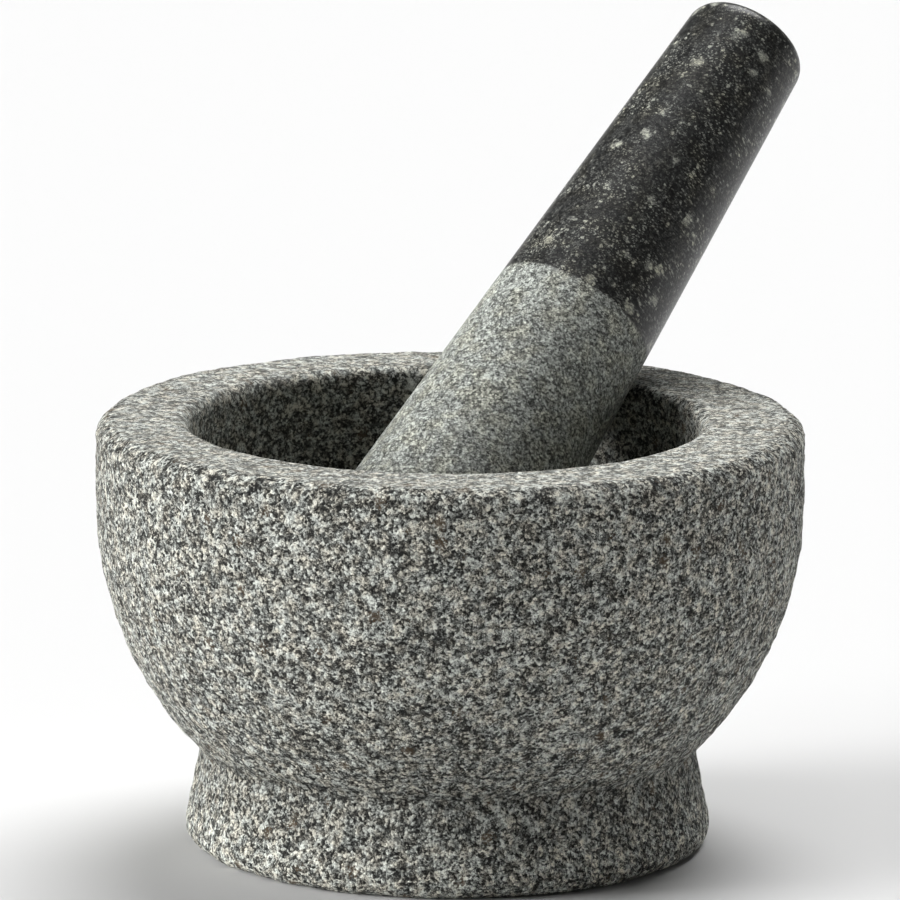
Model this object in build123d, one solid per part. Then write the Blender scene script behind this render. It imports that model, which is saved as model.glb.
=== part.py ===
from build123d import *
from math import acos, atan, atan2, cos, degrees, hypot, radians, sin, sqrt
import os

# A granite mortar and pestle, in millimetres. The mortar stands on Z = 0 with its axis on Z.
# The pestle rests in it and leans over the back right of its rim, towards +X and +Y.

# Mortar, outside: a ball-turned bowl with a short straight collar, on a flared foot.
bowl_radius = 90.0
height = 110.0
ball_centre_height = 88.4
waist_radius = 63.2
foot_radius = 68.0
foot_edge = 4.5
waist_fillet = 2.5
rim_edge = 4.5

# Mortar, inside: a hemisphere with a short straight collar.
mouth_radius = 65.0
floor_height = 30.0
mouth_edge = 3.5

# Pestle: one tapered stone with a round grinding end and a softly domed handle end.
pestle_length = 226.0
nose_radius = 27.3
handle_radius = 16.4
handle_dome = 2.0
handle_edge = 4.5

# Pestle at rest. It tilts off vertical towards a heading, counted from +X to +Y.
# Its nose bears on the bowl on the far side, at a dip below level.
lean_tilt = 49.9
lean_heading = 51.9
bearing_dip = 54.7
bearing_heading = 47.4
clearance = 0.3


def at(radius, level):
    # a point of an outline, in the XZ plane
    return Vector(radius, 0, level)


def direction(heading, tilt):
    # the unit vector that is tilt degrees off +Z, towards the heading
    across = sin(radians(tilt))
    return Vector(across * cos(radians(heading)), across * sin(radians(heading)), cos(radians(tilt)))


def arc(centre_level, radius, start_angle, end_angle):
    # an arc about a point of the Z axis, with angles counted from +X to +Z
    angles = [radians(start_angle + (end_angle - start_angle) * share) for share in (0, 0.5, 1)]
    return ThreePointArc(*[at(radius * cos(a), centre_level + radius * sin(a)) for a in angles])


def round_corner(face, corner, radius):
    return fillet(face.vertices().sort_by_distance(corner)[0], radius)


def turn(face):
    return revolve(face, Axis.Z)


def make_mortar():
    crease_drop = sqrt(bowl_radius**2 - waist_radius**2)
    crease = at(waist_radius, ball_centre_height - crease_drop)
    crease_angle = -degrees(atan(crease_drop / waist_radius))
    well_level = floor_height + mouth_radius
    face = make_face(
        [
            Line(at(0, floor_height), at(0, 0)),
            Line(at(0, 0), at(foot_radius, 0)),
            Line(at(foot_radius, 0), crease),
            arc(ball_centre_height, bowl_radius, crease_angle, 0),
            Line(at(bowl_radius, ball_centre_height), at(bowl_radius, height)),
            Line(at(bowl_radius, height), at(mouth_radius, height)),
            Line(at(mouth_radius, height), at(mouth_radius, well_level)),
            arc(well_level, mouth_radius, 0, -90),
        ]
    )
    face = round_corner(face, at(foot_radius, 0), foot_edge)
    face = round_corner(face, crease, waist_fillet)
    face = round_corner(face, at(bowl_radius, height), rim_edge)
    face = round_corner(face, at(mouth_radius, height), mouth_edge)
    return turn(face)


def make_pestle():
    # drawn upright with the nose's centre at the origin, then leaned into place
    handle_level = pestle_length - nose_radius - handle_dome
    half_taper = atan2(handle_level, handle_radius) - acos(nose_radius / hypot(handle_radius, handle_level))
    shoulder = at(nose_radius * cos(half_taper), nose_radius * sin(half_taper))
    dome_radius = (handle_radius**2 + handle_dome**2) / (2 * handle_dome)
    dome_centre = handle_level + handle_dome - dome_radius
    dome_angle = degrees(atan((handle_level - dome_centre) / handle_radius))
    face = make_face(
        [
            arc(0, nose_radius, -90, degrees(half_taper)),
            Line(shoulder, at(handle_radius, handle_level)),
            arc(dome_centre, dome_radius, dome_angle, 90),
            Line(at(0, handle_level + handle_dome), at(0, -nose_radius)),
        ]
    )
    face = round_corner(face, at(handle_radius, handle_level), handle_edge)
    return resting_place() * turn(face)


def resting_place():
    # the nose's centre lies one nose radius and the clearance inside the bowl's wall
    well_centre = Vector(0, 0, floor_height + mouth_radius)
    bearing = -direction(bearing_heading, 90 - bearing_dip)
    nose_centre = well_centre + bearing * (mouth_radius - nose_radius - clearance)
    return Plane(nose_centre, z_dir=direction(lean_heading, lean_tilt)).location


os.makedirs("parts", exist_ok=True)
mortar = make_mortar()
pestle = make_pestle()
export_step(mortar, "parts/mortar.step")
export_step(pestle, "parts/pestle.step")
print("mortar volume", round(mortar.volume / 1000), "cm3, pestle volume", round(pestle.volume / 1000), "cm3")
print("gap between the stones", round(mortar.distance_to(pestle), 3), "mm")
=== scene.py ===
import math

import bpy
from mathutils import Euler, Matrix, Vector


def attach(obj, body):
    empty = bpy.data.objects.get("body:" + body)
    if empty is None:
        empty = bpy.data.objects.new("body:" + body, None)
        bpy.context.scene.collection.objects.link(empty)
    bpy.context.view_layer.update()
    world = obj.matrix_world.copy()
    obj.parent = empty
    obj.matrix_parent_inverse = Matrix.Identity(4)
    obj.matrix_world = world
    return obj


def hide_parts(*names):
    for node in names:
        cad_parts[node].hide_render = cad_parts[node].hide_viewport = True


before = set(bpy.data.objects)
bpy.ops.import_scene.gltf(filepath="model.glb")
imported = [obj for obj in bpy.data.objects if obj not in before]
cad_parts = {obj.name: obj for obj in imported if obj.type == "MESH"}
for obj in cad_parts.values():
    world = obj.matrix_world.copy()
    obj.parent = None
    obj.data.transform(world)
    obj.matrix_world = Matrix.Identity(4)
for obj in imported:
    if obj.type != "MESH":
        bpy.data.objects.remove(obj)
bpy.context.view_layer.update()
print("frame loaded:", sorted(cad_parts))

mm = 0.001
fullTurn = 2 * math.pi


# a socket that can be written in sums and products
class Wire:
    def __init__(self, tree, socket):
        self.tree = tree
        self.socket = socket

    def math(self, operation, *values):
        node = self.tree.nodes.new("ShaderNodeMath")
        node.operation = operation
        for slot, value in zip(node.inputs, values):
            plug(self.tree, slot, value)
        return Wire(self.tree, node.outputs[0])

    def __add__(self, other):
        return self.math("ADD", self, other)

    def __radd__(self, other):
        return self.math("ADD", other, self)

    def __sub__(self, other):
        return self.math("SUBTRACT", self, other)

    def __rsub__(self, other):
        return self.math("SUBTRACT", other, self)

    def __mul__(self, other):
        return self.math("MULTIPLY", self, other)

    def __rmul__(self, other):
        return self.math("MULTIPLY", other, self)

    def __truediv__(self, other):
        return self.math("DIVIDE", self, other)

    def __rtruediv__(self, other):
        return self.math("DIVIDE", other, self)

    def __pow__(self, other):
        return self.math("POWER", self, other)


def plug(tree, slot, value):
    # a wire is linked, anything else is the socket's own value
    if isinstance(value, Wire):
        tree.links.new(value.socket, slot)
    else:
        slot.default_value = value


# adds nodes to a tree, and hands back their outputs as wires
class Board:
    def __init__(self, tree):
        self.tree = tree

    def add(self, kind, settings=None, values=None):
        # the node's outputs come back as wires, by name and by number
        node = self.tree.nodes.new(kind)
        for name, setting in (settings or {}).items():
            if name == "stops":
                fillRamp(node.color_ramp, setting)
            else:
                setattr(node, name, setting)
        for name, value in (values or {}).items():
            plug(self.tree, node.inputs[name], value)
        outputs = {number: Wire(self.tree, socket) for number, socket in enumerate(node.outputs)}
        outputs.update({socket.name: Wire(self.tree, socket) for socket in reversed(node.outputs)})
        return outputs

    def vector(self, operation, *values):
        slots = dict(enumerate(values))
        if operation == "SCALE":
            slots = {0: values[0], "Scale": values[1]}
        return self.add("ShaderNodeVectorMath", {"operation": operation}, slots)["Vector"]

    def noise(self, spot, scale, detail, roughness=0.5):
        sockets = {"Vector": spot, "Scale": scale, "Detail": detail, "Roughness": roughness}
        return self.add("ShaderNodeTexNoise", None, sockets)

    def ramp(self, share, stops):
        return self.add("ShaderNodeValToRGB", {"stops": stops}, {"Fac": share})["Color"]

    def mix(self, share, first, second, blend="MIX"):
        # colours: numbers 0, 6 and 7 are the colour sockets of a Mix node
        kind = {"data_type": "RGBA", "clamp_factor": True, "blend_type": blend}
        return self.add("ShaderNodeMix", kind, {0: share, 6: first, 7: second})[2]

    def step(self, value, low, high):
        # 0 under low, 1 over high, smooth between
        ends = {"Value": value, "From Min": low, "From Max": high}
        return self.add("ShaderNodeMapRange", {"interpolation_type": "SMOOTHSTEP"}, ends)["Result"]


def fillRamp(ramp, stops):
    while len(ramp.elements) > 1:
        ramp.elements.remove(ramp.elements[-1])
    ramp.elements[0].position = stops[0][0]
    ramp.elements[0].color = (*stops[0][1], 1)
    for place, colour in stops[1:]:
        element = ramp.elements.new(place)
        element.color = (*colour, 1)


def newMaterial(name):
    material = bpy.data.materials.new(name)
    material.use_nodes = True
    material.node_tree.nodes.clear()
    return material, Board(material.node_tree)


def pointing(heading, tilt):
    # the unit vector that is tilt degrees off Z, towards the heading, counted from X to Y
    across = math.sin(math.radians(tilt))
    return Vector((across * math.cos(math.radians(heading)), across * math.sin(math.radians(heading)),
                   math.cos(math.radians(tilt))))


# an outline is a run of points (radius, level), from the axis under the stone to the axis on top of it
outlineStep = 0.2 * mm      # how finely it is measured before the rows are placed on it
easing = 10     # so many measured points each way smooth the change of tooling between two stretches


def arcPoints(centreLevel, radius, startAngle, endAngle, count=60):
    angles = [math.radians(startAngle + (endAngle - startAngle) * n / count) for n in range(count + 1)]
    return [(radius * math.cos(a), centreLevel + radius * math.sin(a)) for a in angles]


def roundedCorner(before, corner, after, radius, count=12):
    # the arc that touches both straight sides of a corner
    before, corner, after = Vector(before), Vector(corner), Vector(after)
    comesIn = (corner - before).normalized()
    goesOut = (after - corner).normalized()
    turning = comesIn.angle_signed(goesOut)
    reach = radius * math.tan(abs(turning) / 2)
    start, end = corner - comesIn * reach, corner + goesOut * reach
    inward = (goesOut - comesIn).normalized()
    centre = corner + inward * radius / math.cos(turning / 2)
    points = []
    for n in range(count + 1):
        mixed = (start - centre).lerp(end - centre, n / count)
        points.append(tuple(centre + mixed.normalized() * radius))
    return points


def outlineMesh(name, stretches):
    # rows are spaced by each stretch's own step, and tooling eases from one stretch to the next
    dense = []
    for points, step, tooling in stretches:
        for a, b in zip(points, points[1:]):
            pieces = max(1, math.ceil(math.dist(a, b) / outlineStep))
            for n in range(pieces):
                share = n / pieces
                dense.append((a[0] + (b[0] - a[0]) * share, a[1] + (b[1] - a[1]) * share, step, tooling))
    dense.append((*stretches[-1][0][-1], stretches[-1][1], stretches[-1][2]))
    measure = [0.0]
    for a, b in zip(dense, dense[1:]):
        measure.append(measure[-1] + math.dist(a[:2], b[:2]) / a[2])
    rows = math.ceil(measure[-1])
    chosen = []
    at = 0
    for row in range(rows + 1):
        wanted = measure[-1] * row / rows
        while at < len(measure) - 2 and measure[at + 1] < wanted:
            at += 1
        span = measure[at + 1] - measure[at]
        share = 0 if span == 0 else min(1, (wanted - measure[at]) / span)
        a, b = dense[at], dense[at + 1]
        near = dense[max(0, at - easing):at + easing + 1]
        tooling = sum(point[3] for point in near) / len(near)
        chosen.append((a[0] + (b[0] - a[0]) * share, a[1] + (b[1] - a[1]) * share, tooling))
    chosen[0] = (0, chosen[0][1], chosen[0][2])
    chosen[-1] = (0, chosen[-1][1], chosen[-1][2])
    mesh = bpy.data.meshes.new(name)
    mesh.from_pydata([(r, 0, z) for r, z, tooling in chosen], [(n, n + 1) for n in range(rows)], [])
    attribute = mesh.attributes.new("tooling", "FLOAT", "POINT")
    attribute.data.foreach_set("value", [tooling for r, z, tooling in chosen])
    return mesh


# what the tooling of both stones shares
handWork = {
    "chips": (0.62, 0.74),      # the noise above which a chip begins, and where it is at its deepest
    "noiseMiddle": 0.5, "pitMiddle": 0.45,      # so that the tooling leaves the mean size as it is
    "mouthReach": (1.05, 1.30),     # the mouth's shift fades out between these shares of its radius
    "weld": 0.001 * mm,
}


def latheTree():
    tree = bpy.data.node_groups.new("turnedStone", "GeometryNodeTree")
    kinds = {"Outline": "Geometry", "Columns": "Int", "Stone": "Material"}
    names = [
        "Outline", "Columns", "Wave Depth", "Wave Size", "Dent Depth", "Dent Size", "Pit Depth", "Pit Size",
        "Chip Depth", "Chip Size", "Lean", "Lean Height", "Mouth Radius", "Mouth Shift", "Rest Level", "Seed",
        "Stone",
    ]
    for name in names:
        kind = "NodeSocket" + kinds.get(name, "Float")
        tree.interface.new_socket(name, in_out="INPUT", socket_type=kind)
    tree.interface.new_socket("Turned", in_out="OUTPUT", socket_type="NodeSocketGeometry")
    board = Board(tree)
    given = board.add("NodeGroupInput")
    outline = given["Outline"]
    place = board.add("GeometryNodeInputPosition")["Position"]
    rows = board.add("GeometryNodeAttributeDomainSize", None, {"Geometry": outline})["Point Count"]
    # a flat sheet with a row for each point of the outline, rolled up about the axis
    grid = board.add("GeometryNodeMeshGrid", None, {
        "Size X": 1.0, "Size Y": 1.0, "Vertices X": rows, "Vertices Y": given["Columns"] + 1})["Mesh"]
    flat = board.add("ShaderNodeSeparateXYZ", None, {0: place})
    row = rows.math("ROUND", (flat["X"] + 0.5) * (rows - 1))
    angle = (flat["Y"] + 0.5) * fullTurn
    point = board.add("GeometryNodeSampleIndex", {"data_type": "FLOAT_VECTOR"},
                      {"Geometry": outline, "Value": place, "Index": row})["Value"]
    named = board.add("GeometryNodeInputNamedAttribute", {"data_type": "FLOAT"}, {"Name": "tooling"})
    tooled = named["Attribute"]
    tooling = board.add("GeometryNodeSampleIndex", {"data_type": "FLOAT"},
                        {"Geometry": outline, "Value": tooled, "Index": row})["Value"]
    profile = board.add("ShaderNodeSeparateXYZ", None, {0: point})
    # the top is dressed a little out of level: Lean is its rise over the run towards the back
    # the mouth is cut a little off centre, by Mouth Shift along X
    towardsBack = profile["X"] * angle.math("SINE", angle)
    nearTop = (profile["Z"] / given["Lean Height"]) ** 3
    uneven = given["Lean"] * towardsBack * nearTop
    mouth = given["Mouth Radius"]
    fadeFrom, fadeTo = handWork["mouthReach"]
    withinMouth = 1 - board.step(profile["X"], mouth * fadeFrom, mouth * fadeTo)
    sideways = given["Mouth Shift"] * nearTop * withinMouth
    around = board.add("ShaderNodeCombineXYZ", None, {
        "X": profile["X"] * angle.math("COSINE", angle) + sideways, "Y": towardsBack,
        "Z": profile["Z"] + uneven})["Vector"]
    stored = board.add("GeometryNodeStoreNamedAttribute", {"data_type": "FLOAT", "domain": "POINT"},
                       {"Geometry": grid, "Name": "tooling", "Value": tooling})["Geometry"]
    turned = board.add("GeometryNodeSetPosition", None, {"Geometry": stored, "Position": around})["Geometry"]
    closed = board.add("GeometryNodeMergeByDistance", None, {
        "Geometry": turned, "Distance": handWork["weld"]})["Geometry"]
    outward = board.add("GeometryNodeFlipFaces", None, {"Mesh": closed})["Mesh"]

    # hand work: slow waves, dents, hammer pits and a few chips, all pushed along the normal
    seed = given["Seed"]
    wave = board.add("ShaderNodeTexNoise", {"noise_dimensions": "4D"}, {
        "Vector": place, "W": seed, "Scale": 1 / given["Wave Size"], "Detail": 1.0})[0]
    stretched = board.vector("MULTIPLY", place, (1, 1, 2))
    dent = board.add("ShaderNodeTexNoise", {"noise_dimensions": "4D"}, {
        "Vector": stretched, "W": seed + 7, "Scale": 1 / given["Dent Size"], "Detail": 3.0,
        "Roughness": 0.6})[0]
    pit = board.add("ShaderNodeTexVoronoi", {"voronoi_dimensions": "4D", "feature": "SMOOTH_F1"}, {
        "Vector": place, "W": seed + 13, "Scale": 1 / given["Pit Size"], "Smoothness": 0.4})["Distance"]
    chipNoise = board.add("ShaderNodeTexNoise", {"noise_dimensions": "4D"}, {
        "Vector": place, "W": seed + 29, "Scale": 1 / given["Chip Size"], "Detail": 2.0})[0]
    chip = board.step(chipNoise, *handWork["chips"])
    middle = handWork["noiseMiddle"]
    depth = given["Wave Depth"] * (wave - middle) + given["Dent Depth"] * (dent - middle)
    depth = depth + given["Pit Depth"] * (pit - handWork["pitMiddle"]) - given["Chip Depth"] * chip
    normal = board.add("GeometryNodeInputNormal")["Normal"]
    # tooling 0.5 is the full depth
    pushed = board.vector("ADD", place, board.vector("SCALE", normal, depth * tooled * 2))
    # nothing stands below the face that the stone rests on
    flush = board.vector("MAXIMUM", pushed, board.add("ShaderNodeCombineXYZ", None, {
        "X": -1.0, "Y": -1.0, "Z": given["Rest Level"]})["Vector"])
    worked = board.add("GeometryNodeSetPosition", None, {"Geometry": outward, "Position": flush})["Geometry"]
    smooth = board.add("GeometryNodeSetShadeSmooth", None, {"Geometry": worked})["Geometry"]
    whole = board.add("GeometryNodeRealizeInstances", None, {"Geometry": smooth})["Geometry"]
    done = board.add("GeometryNodeSetMaterial", None, {"Geometry": whole, "Material": given["Stone"]})
    board.add("NodeGroupOutput", None, {"Turned": done["Geometry"]})
    return tree


def turnStone(name, outline, tree, values, placing=None):
    rough = bpy.data.objects.new(name + "Outline", outline)
    bpy.context.scene.collection.objects.link(rough)
    modifier = rough.modifiers.new("turn", "NODES")
    modifier.node_group = tree
    for item in tree.interface.items_tree:
        if item.in_out == "INPUT" and item.name in values:
            modifier[item.identifier] = values[item.name]
    graph = bpy.context.evaluated_depsgraph_get()
    mesh = bpy.data.meshes.new_from_object(rough.evaluated_get(graph), depsgraph=graph)
    rough.modifiers.remove(modifier)
    bpy.data.objects.remove(rough)
    mesh.name = name
    if placing:
        mesh.transform(placing)
    stone = bpy.data.objects.new(name, mesh)
    bpy.context.scene.collection.objects.link(stone)
    mesh.calc_loop_triangles()
    volume = round(signedVolume(mesh) / (10 * mm) ** 3)
    print(name, "has", len(mesh.loop_triangles), "triangles, volume", volume, "cm3")
    return stone


def signedVolume(mesh):
    # positive when the faces point outwards
    total = 0
    for triangle in mesh.loop_triangles:
        a, b, c = (mesh.vertices[n].co for n in triangle.vertices)
        total += a.dot(b.cross(c)) / 6
    return total


def crystals(board, spot, size, warp, seed):
    # interlocking mineral grains: one random number for each, and the distance from its heart
    shifted = board.vector("ADD", spot, (seed, seed * 0.7, -seed))
    bend = board.noise(shifted, 0.9 / size, 2.0, 0.6)["Color"]
    centred = board.vector("SUBTRACT", bend, (0.5, 0.5, 0.5))
    bent = board.vector("ADD", shifted, board.vector("SCALE", centred, warp))
    cell = board.add("ShaderNodeTexVoronoi", None, {"Vector": bent, "Scale": 1 / size})
    return board.add("ShaderNodeSeparateColor", None, {0: cell["Color"]})["Red"], cell["Distance"]


def spots(board, spot, kind, crowding=0, raggedness=0):
    # a few crystals picked out, each up to a soft edge round its heart
    pick, heart = crystals(board, spot, *kind["crystal"])
    beyond = board.step(heart + raggedness, *kind["heart"])
    return board.step(pick + crowding, *kind["picked"]) * (1 - beyond)


def laths(board, spot, turn, size, slimness, seed, share):
    # slender crystals that lie one way: 1 inside a crystal and 0 outside
    turned = board.add("ShaderNodeMapping", {"vector_type": "POINT"}, {
        "Vector": spot, "Rotation": turn, "Scale": (1, slimness, 1),
        "Location": (seed, -seed, seed)})["Vector"]
    cell = board.add("ShaderNodeTexVoronoi", None, {"Vector": turned, "Scale": 1 / size})
    pick = board.add("ShaderNodeSeparateColor", None, {0: cell["Color"]})["Red"]
    kept = board.step(pick, 1 - share, 1 - share + 0.04)
    return kept * (1 - board.step(cell["Distance"], 0.30, 0.42))


def granitePattern(board, spot, look):
    # two sizes of crystal, dust and slow clumping, and the tone that they add up to
    grain, heart = crystals(board, spot, *look["grain"])
    crumb = crystals(board, spot, *look["crumb"])[0]
    dust = board.noise(spot, 1 / look["dust"], 1.0)[0]
    clump = board.noise(spot, 1 / look["clump"], 3.0, 0.6)[0]
    share = look["shares"]
    tone = grain * share["grain"] + crumb * share["crumb"] + (dust - 0.5) * share["dust"]
    tone = tone + (clump - 0.5) * share["clump"] + look["level"]
    return {"grain": grain, "heart": heart, "crumb": crumb, "dust": dust, "clump": clump, "tone": tone}


def drifting(board, spot, colour, drift):
    # a cool and a warm tint that change slowly, over several grains
    place = board.noise(spot, drift["scale"], 2.0)[0]
    tint = board.mix(board.step(place, *drift["span"]), (*drift["cool"], 1), (*drift["warm"], 1))
    return board.mix(1.0, colour, tint, "MULTIPLY")


def finishStone(board, colour, roughness, specular, relief):
    # the relief is in millimetres
    bumped = board.add("ShaderNodeBump", None, {"Height": relief, "Distance": mm, "Strength": 1.0})["Normal"]
    shader = board.add("ShaderNodeBsdfPrincipled", None, {
        "Base Color": colour, "Roughness": roughness, "Normal": bumped,
        "Specular IOR Level": specular})["BSDF"]
    board.add("ShaderNodeOutputMaterial", None, {"Surface": shader})


mortarPiece = {
    # all in mm
    "size": {
        "bowlRadius": 89.8, "height": 109.4, "ballCentre": 88.4, "waistRadius": 63.2, "footRadius": 68.0,
        "footEdge": 4.5, "waistFillet": 2.5, "rimEdge": 4.5, "mouthRadius": 65.0, "floor": 30.0,
        "mouthEdge": 3.2, "mouthShift": -1.4,
    },
    "columns": 512, "seed": 4.0,
    "lean": 0.0067,     # the rim's rise for each mm towards the back
    # for each stretch of the outline: its row spacing in mm, and how much of the tooling it gets
    "rows": {
        "underside": (7.0, 0.0), "outside": (1.15, 0.5), "rim": (1.6, 0.07), "lip": (1.2, 0.12),
        "well": (2.2, 0.2),
    },
    "tooling": {
        "Wave Depth": 1.1, "Wave Size": 36.0, "Dent Depth": 1.7, "Dent Size": 11.0, "Pit Depth": 0.30,
        "Pit Size": 2.6, "Chip Depth": 0.5, "Chip Size": 7.0,
    },
    "granite": {
        # sizes are in mm, and a crystal's is followed by its warp in mm and its seed
        "grain": (0.84, 0.9, 3.1), "crumb": (0.46, 0.5, 11.7), "dust": 0.25, "clump": 3.2,
        # what each gives to the tone, and a tone and its shade for each stop of the ramp
        "shares": {"grain": 0.43, "crumb": 0.35, "dust": 0.60, "clump": 0.80}, "level": 0.11,
        "shades": [(0.19, 0.012), (0.30, 0.034), (0.40, 0.085), (0.50, 0.200), (0.61, 0.400), (0.72, 0.620),
                   (0.88, 0.840)],
        "blue": 0.91,       # how blue each shade is, for 1 of red and green
        "honing": 0.14, "rimShade": (0.36, 0.36, 0.3312),      # the honed rim's shades draw together
        "outside": (0.22, 0.45),        # the tooling that tells the rough outside from the honed rim
        "wellPaintedShade": 0.77, "wellEdge": (65.3, 67.0), "wellFloor": (8, 16),      # painted shade: the bowl inside is darkened for the shade that falls in it
        "footPaintedBounce": 1.22, "paintedBounceTop": (17, 26),      # painted light: the foot's outside is paled for the light that the floor throws up on it, up to these levels
        "drift": {"scale": 0.35, "span": (0.35, 0.7), "cool": (0.96, 1.0, 1.02), "warm": (1.03, 0.99, 0.93)},
        "rust": {"crystal": (7.0, 3.0, 23.0), "picked": (0.66, 0.68), "heart": (0.10, 0.26)},
        "rustRagged": 0.24, "rustStrength": 0.75, "rustColour": (0.095, 0.068, 0.042),
        "reliefOutside": 0.72, "reliefRim": 0.04, "roughness": 0.75, "specular": 0.2,
    },
}


def mortarStone():
    look = mortarPiece["granite"]
    material, board = newMaterial("mortarGranite")
    spot = board.vector("SCALE", board.add("ShaderNodeTexCoord")["Object"], 1 / mm)
    tooling = board.add("ShaderNodeAttribute", {"attribute_name": "tooling"})["Fac"]
    stone = granitePattern(board, spot, look)
    rough = board.ramp(stone["tone"], [
        (place, (shade, shade, shade * look["blue"])) for place, shade in look["shades"]])
    honed = board.mix(look["honing"], rough, (*look["rimShade"], 1))
    outside = board.step(tooling, *look["outside"])
    colour = board.mix(outside, honed, rough)
    axes = board.add("ShaderNodeSeparateXYZ", None, {0: spot})
    radius = (axes["X"] ** 2 + axes["Y"] ** 2) ** 0.5
    # painted shade: inside the mouth the colour is darkened, for the shade that falls in the bowl
    inside = (1 - board.step(radius, *look["wellEdge"])) * board.step(axes["Z"], *look["wellFloor"])
    colour = board.mix(inside, colour, board.vector("SCALE", rough, look["wellPaintedShade"]))
    colour = drifting(board, spot, colour, look["drift"])
    rust = spots(board, spot, look["rust"], raggedness=(stone["crumb"] - 0.5) * look["rustRagged"])
    colour = board.mix(rust * look["rustStrength"], colour, (*look["rustColour"], 1))
    # painted light: the outside of the foot is made paler, for light thrown up from the floor
    bounceBrightened = 1 + (look["footPaintedBounce"] - 1) * (1 - board.step(axes["Z"], *look["paintedBounceTop"])) * outside
    colour = board.vector("SCALE", colour, bounceBrightened)
    # grains stand at different levels, with crushed crumbs between
    relief = stone["grain"] * 0.5 + stone["crumb"] * 0.3 + stone["dust"] * 0.35
    relief = relief - board.step(stone["heart"], 0.2, 0.6) * 0.3
    lift = relief * (look["reliefRim"] + outside * (look["reliefOutside"] - look["reliefRim"]))
    finishStone(board, colour, look["roughness"], look["specular"], lift)
    return material


def makeMortar(tree):
    s = {name: value * mm for name, value in mortarPiece["size"].items()}
    creaseDrop = math.sqrt(s["bowlRadius"] ** 2 - s["waistRadius"] ** 2)
    crease = (s["waistRadius"], s["ballCentre"] - creaseDrop)
    creaseAngle = -math.degrees(math.atan2(creaseDrop, s["waistRadius"]))
    pastFillet = 3      # degrees of the ball that the waist's fillet takes up
    ball = arcPoints(s["ballCentre"], s["bowlRadius"], creaseAngle + pastFillet, 0)
    foot = (s["footRadius"], 0)
    rim = (s["bowlRadius"], s["height"])
    mouth = (s["mouthRadius"], s["height"])
    footEdge = roundedCorner((0, 0), foot, crease, s["footEdge"])
    waist = roundedCorner(foot, crease, ball[0], s["waistFillet"])
    rimEdge = roundedCorner(ball[-1], rim, mouth, s["rimEdge"])
    mouthEdge = roundedCorner(rim, mouth, (s["mouthRadius"], 0), s["mouthEdge"])
    wellLevel = s["floor"] + s["mouthRadius"]
    well = arcPoints(wellLevel, s["mouthRadius"], 0, -90)
    rows = {name: (spacing * mm, tooling) for name, (spacing, tooling) in mortarPiece["rows"].items()}
    stretches = [
        ([(0, 0), footEdge[0]], *rows["underside"]),
        (footEdge + waist + ball + rimEdge, *rows["outside"]),
        ([rimEdge[-1], mouthEdge[0]], *rows["rim"]),
        (mouthEdge, *rows["lip"]),
        ([mouthEdge[-1]] + well, *rows["well"]),
    ]
    outline = outlineMesh("mortarOutline", stretches)
    values = {name: value * mm for name, value in mortarPiece["tooling"].items()}
    values.update({
        "Columns": mortarPiece["columns"], "Lean": mortarPiece["lean"], "Lean Height": s["height"],
        "Mouth Radius": s["mouthRadius"], "Mouth Shift": s["mouthShift"], "Rest Level": 0.0,
        "Seed": mortarPiece["seed"], "Stone": mortarStone(),
    })
    stone = turnStone("mortarStone", outline, tree, values)
    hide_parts("mortar")
    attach(stone, "mortar")


pestlePiece = {
    # all in mm
    "size": {"length": 226.0, "noseRadius": 27.3, "handleRadius": 16.4, "dome": 2.0, "handleEdge": 4.5},
    "columns": 200, "seed": 21.0,
    # at rest: degrees for the lean and for where the nose bears on the bowl, and the gap there in mm
    "rest": {"tilt": 49.9, "heading": 51.9, "bearingDip": 54.7, "bearingHeading": 47.4, "clearance": 0.3},
    # row spacing in mm, and how much of the tooling each half gets
    "rows": {"honed": (0.85, 0.5), "polished": (1.1, 0.12)},
    "tooling": {
        "Wave Depth": 0.25, "Wave Size": 30.0, "Dent Depth": 0.12, "Dent Size": 6.0, "Pit Depth": 0.05,
        "Pit Size": 2.0, "Chip Depth": 0.0, "Chip Size": 9.0,
    },
    "granite": {
        # sizes are in mm, and a crystal's is followed by its warp in mm and its seed
        "grain": (0.72, 0.8, 5.3), "crumb": (0.40, 0.4, 17.9), "dust": 0.24, "clump": 4.0,
        "shares": {"grain": 0.36, "crumb": 0.30, "dust": 0.3, "clump": 0.4}, "level": 0.17,
        # slender crystals: how each set lies, its size in mm, slimness and seed
        "laths": [
            ((0.3, 0.5, 0.2), 0.80, 0.36, 3.0), ((1.2, -0.6, 1.1), 0.64, 0.30, 9.0),
            ((-0.8, 1.3, -0.5), 0.52, 0.26, 15.0),
        ],
        "lathShare": 0.36,
        "honedShades": [(0.18, 0.026), (0.32, 0.068), (0.45, 0.158), (0.58, 0.295), (0.72, 0.480),
                        (0.90, 0.720)],
        "honedTint": (0.98, 1.02, 0.94),
        "darkShades": [(0.18, 0.005), (0.32, 0.021), (0.42, 0.056), (0.53, 0.142), (0.66, 0.300),
                       (0.88, 0.500)],
        "darkBlue": 1.08, "paleWarmth": 0.30,       # the polished darks are bluish and the pale flecks warm
        "patch": {"crystal": (5.6, 5.0, 31.0), "picked": (0.70, 0.72), "heart": (0.22, 0.34)},
        "flake": {"crystal": (1.7, 1.6, 47.0), "picked": (0.76, 0.80), "heart": (0.26, 0.36)},
        "crowdScale": 0.09, "crowding": 1.1, "crowded": (0.38, 0.62),
        # where the polish begins, in mm above the nose's centre, and how far it strays
        "boundary": 97.3, "boundaryTilt": (-0.03, 0.02), "feather": 0.4, "grainStray": 0.6, "clumpStray": 1.6,
        "drift": {"scale": 0.2, "span": (0.40, 0.68), "cool": (0.985, 1.0, 1.0), "warm": (1.03, 1.01, 0.93)},
        # first honed, then polished
        "roughness": (0.62, 0.34), "relief": (0.07, 0.004), "specular": 0.25,
    },
}


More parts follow.
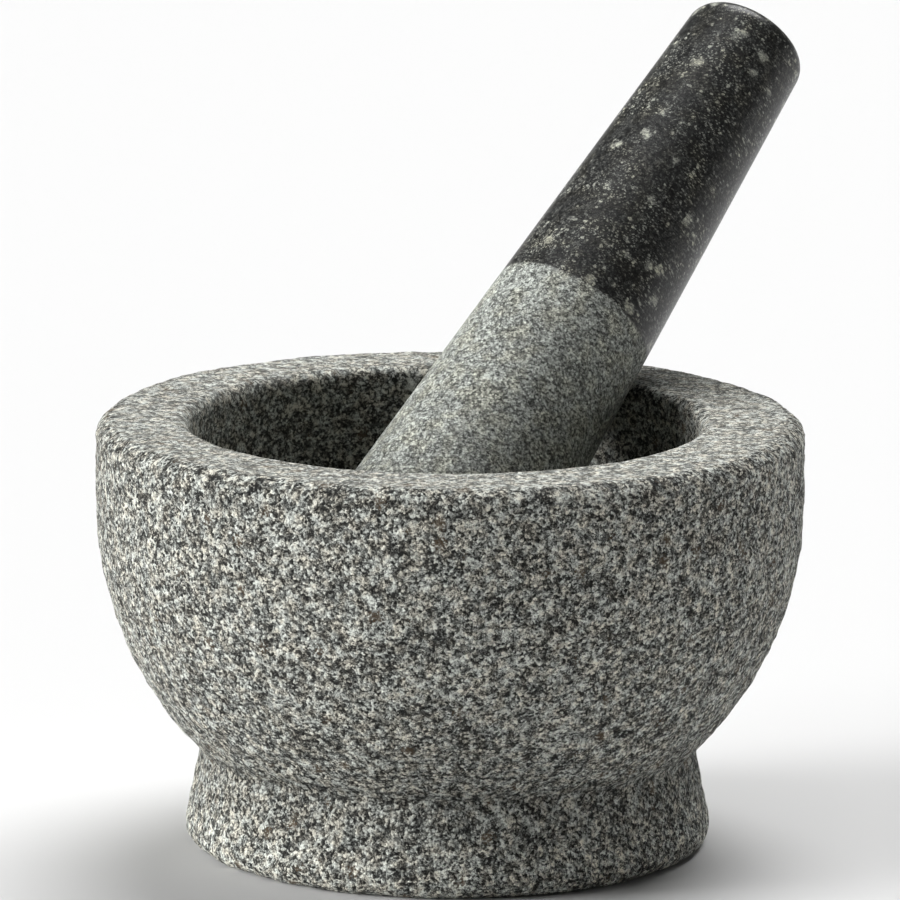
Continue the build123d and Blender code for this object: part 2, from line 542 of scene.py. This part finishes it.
def pestleStone(placing):
    look = pestlePiece["granite"]
    material, board = newMaterial("pestleGranite")
    # the pattern's own frame: nose centre at the origin, handle along Z, in millimetres
    local = board.add("ShaderNodeMapping", {"vector_type": "TEXTURE"}, {
        "Vector": board.add("ShaderNodeTexCoord")["Object"], "Location": placing.to_translation(),
        "Rotation": placing.to_euler()})["Vector"]
    spot = board.vector("SCALE", local, 1 / mm)
    stone = granitePattern(board, spot, look)
    grain, crumb, tone = stone["grain"], stone["crumb"], stone["tone"]
    first, second, third = (laths(board, spot, *kind, look["lathShare"]) for kind in look["laths"])
    lath = first.math("MAXIMUM", first, second.math("MAXIMUM", second, third))
    honed = board.ramp(tone + lath * 0.14 - 0.02, [
        (place, tuple(shade * part for part in look["honedTint"])) for place, shade in look["honedShades"]])
    # polish turns the grey matrix nearly black, and pale feldspar shows up in it, thick in places
    patch = spots(board, spot, look["patch"], raggedness=(crumb - 0.5) * 0.16 + (grain - 0.5) * 0.20)
    crowd = board.noise(spot, look["crowdScale"], 2.0)[0]
    flake = spots(board, spot, look["flake"], crowding=(crowd - 0.5) * look["crowding"])
    strewn = lath * (0.09 + board.step(crowd, *look["crowded"]) * 0.15)
    darkTone = tone * 0.50 + strewn + patch * 0.30 + flake * 0.26 + 0.06
    polished = board.ramp(darkTone, [
        (place, (shade, shade * 1.01, shade * (look["darkBlue"] - place * look["paleWarmth"])))
        for place, shade in look["darkShades"]])
    # the polish begins at a slightly slanted line that follows the grains
    axes = board.add("ShaderNodeSeparateXYZ", None, {0: spot})
    slant = axes["X"] * look["boundaryTilt"][0] + axes["Y"] * look["boundaryTilt"][1]
    stray = (grain - 0.5) * look["grainStray"] + (stone["clump"] - 0.5) * look["clumpStray"]
    above = axes["Z"] + slant + stray - look["boundary"]
    polish = board.step(above, -look["feather"], look["feather"])
    colour = drifting(board, spot, board.mix(polish, honed, polished), look["drift"])
    dull, glossy = look["roughness"]
    deep, shallow = look["relief"]
    relief = (grain * 0.4 + crumb * 0.3 + stone["dust"] * 0.3) * (deep - polish * (deep - shallow))
    finishStone(board, colour, dull - polish * (dull - glossy), look["specular"], relief)
    return material


def pestlePlace():
    # the nose bears on the bowl's wall, and the handle leans over the rim
    rest = pestlePiece["rest"]
    bowl = mortarPiece["size"]
    bearing = -pointing(rest["bearingHeading"], 90 - rest["bearingDip"])
    reach = bowl["mouthRadius"] - pestlePiece["size"]["noseRadius"] - rest["clearance"]
    centre = Vector((0, 0, bowl["floor"] + bowl["mouthRadius"])) + bearing * reach
    turn = pointing(rest["heading"], rest["tilt"]).to_track_quat("Z", "Y").to_matrix().to_4x4()
    return Matrix.Translation(centre * mm) @ turn


def makePestle(tree):
    s = {name: value * mm for name, value in pestlePiece["size"].items()}
    handleLevel = s["length"] - s["noseRadius"] - s["dome"]
    span = math.hypot(s["handleRadius"], handleLevel)
    halfTaper = math.degrees(math.atan2(handleLevel, s["handleRadius"]) - math.acos(s["noseRadius"] / span))
    nose = arcPoints(0, s["noseRadius"], -90, halfTaper)
    domeRadius = (s["handleRadius"] ** 2 + s["dome"] ** 2) / (2 * s["dome"])
    domeCentre = handleLevel + s["dome"] - domeRadius
    domeAngle = math.degrees(math.atan2(handleLevel - domeCentre, s["handleRadius"]))
    dome = arcPoints(domeCentre, domeRadius, domeAngle, 90)
    # the handle's edge is rounded between the taper and a point some way in on the dome
    edge = roundedCorner(nose[-1], (s["handleRadius"], handleLevel), dome[12], s["handleEdge"])
    boundary = pestlePiece["granite"]["boundary"] * mm
    side = (boundary - nose[-1][1]) / (handleLevel - nose[-1][1])
    change = (nose[-1][0] + (s["handleRadius"] - nose[-1][0]) * side, boundary)
    beyond = [point for point in dome if point[0] < edge[-1][0]]
    rows = {name: (spacing * mm, tooling) for name, (spacing, tooling) in pestlePiece["rows"].items()}
    stretches = [
        (nose + [change], *rows["honed"]),
        ([change] + edge + beyond, *rows["polished"]),
    ]
    outline = outlineMesh("pestleOutline", stretches)
    placing = pestlePlace()
    values = {name: value * mm for name, value in pestlePiece["tooling"].items()}
    # no lean and no mouth, and the rest level is out of reach
    values.update({
        "Columns": pestlePiece["columns"], "Lean": 0.0, "Lean Height": 1.0, "Mouth Radius": 1.0,
        "Mouth Shift": 0.0, "Rest Level": -1.0, "Seed": pestlePiece["seed"], "Stone": pestleStone(placing),
    })
    stone = turnStone("pestleStone", outline, tree, values, placing)
    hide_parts("pestle")
    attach(stone, "pestle")


lathe = latheTree()
makeMortar(lathe)
makePestle(lathe)
print("stones turned and tooled")

studio = {
    "floorRadius": 14.0, "floorShade": 0.67,
    # how bright the sky is overhead and at the horizon, and between which heights it changes
    "fill": 0.04, "horizon": 0.90, "skyBand": (0.04, 0.12),
    # each lamp: where it stands round the stones, how high, how wide it is in degrees, how strong
    "lamps": {
        "lowLeft": (187, 12, 24, 1.08), "frontLeft": (204, 24, 26, 0.25), "highLeft": (180, 40, 26, 0.20),
        "backTop": (70, 62, 40, 1.10),
    },
}


def makeFloor():
    bpy.ops.mesh.primitive_circle_add(vertices=96, radius=studio["floorRadius"], fill_type="NGON")
    floor = bpy.context.object
    floor.name = "floor"
    material, board = newMaterial("paleFloor")
    shade = studio["floorShade"]
    shader = board.add("ShaderNodeBsdfPrincipled", None, {
        "Base Color": (shade, shade, shade, 1), "Roughness": 0.9, "Specular IOR Level": 0.1})["BSDF"]
    board.add("ShaderNodeOutputMaterial", None, {"Surface": shader})
    floor.data.materials.append(material)


def makeSky():
    # a dim room with a pale band at the horizon, so that a level view has a pale background too
    world = bpy.data.worlds.new("studioSky")
    bpy.context.scene.world = world
    world.use_nodes = True
    board = Board(world.node_tree)
    world.node_tree.nodes.clear()
    towards = board.add("ShaderNodeSeparateXYZ", None, {0: board.add("ShaderNodeTexCoord")["Generated"]})
    above = board.step(towards["Z"], *studio["skyBand"])
    low, high = studio["horizon"], studio["fill"]
    glow = board.mix(above, (low, low, low, 1), (high, high, high, 1))
    sky = board.add("ShaderNodeBackground", None, {"Color": glow})
    board.add("ShaderNodeOutputWorld", None, {"Surface": sky["Background"]})


def hangLamp(name, heading, height, spread, strength):
    light = bpy.data.lights.new(name, "SUN")
    light.angle = math.radians(spread)
    light.energy = strength * math.pi
    holder = bpy.data.objects.new(name + "Lamp", light)
    holder.rotation_euler = pointing(heading, 90 - height).to_track_quat("Z", "Y").to_euler()
    bpy.context.scene.collection.objects.link(holder)


# metres, degrees, and the lens in mm
viewpoint = {"distance": 2.0, "elevation": 11.58, "aimLevel": 0.101, "roll": 0.455, "lens": 314.8}


def makeCamera():
    lens = bpy.data.cameras.new("camera")
    lens.lens = viewpoint["lens"]
    lens.clip_end = 100
    camera = bpy.data.objects.new("camera", lens)
    turn = Euler((math.radians(90 - viewpoint["elevation"]), 0, 0)).to_matrix().to_4x4()
    roll = Matrix.Rotation(math.radians(viewpoint["roll"]), 4, "Z")
    away = Matrix.Translation((0, 0, viewpoint["distance"]))
    camera.matrix_world = Matrix.Translation((0, 0, viewpoint["aimLevel"])) @ turn @ away @ roll
    bpy.context.scene.collection.objects.link(camera)
    bpy.context.scene.camera = camera


makeFloor()
makeSky()
for name, lamp in studio["lamps"].items():
    hangLamp(name, *lamp)
makeCamera()
bpy.context.scene.view_settings.view_transform = "Standard"
print("studio ready")
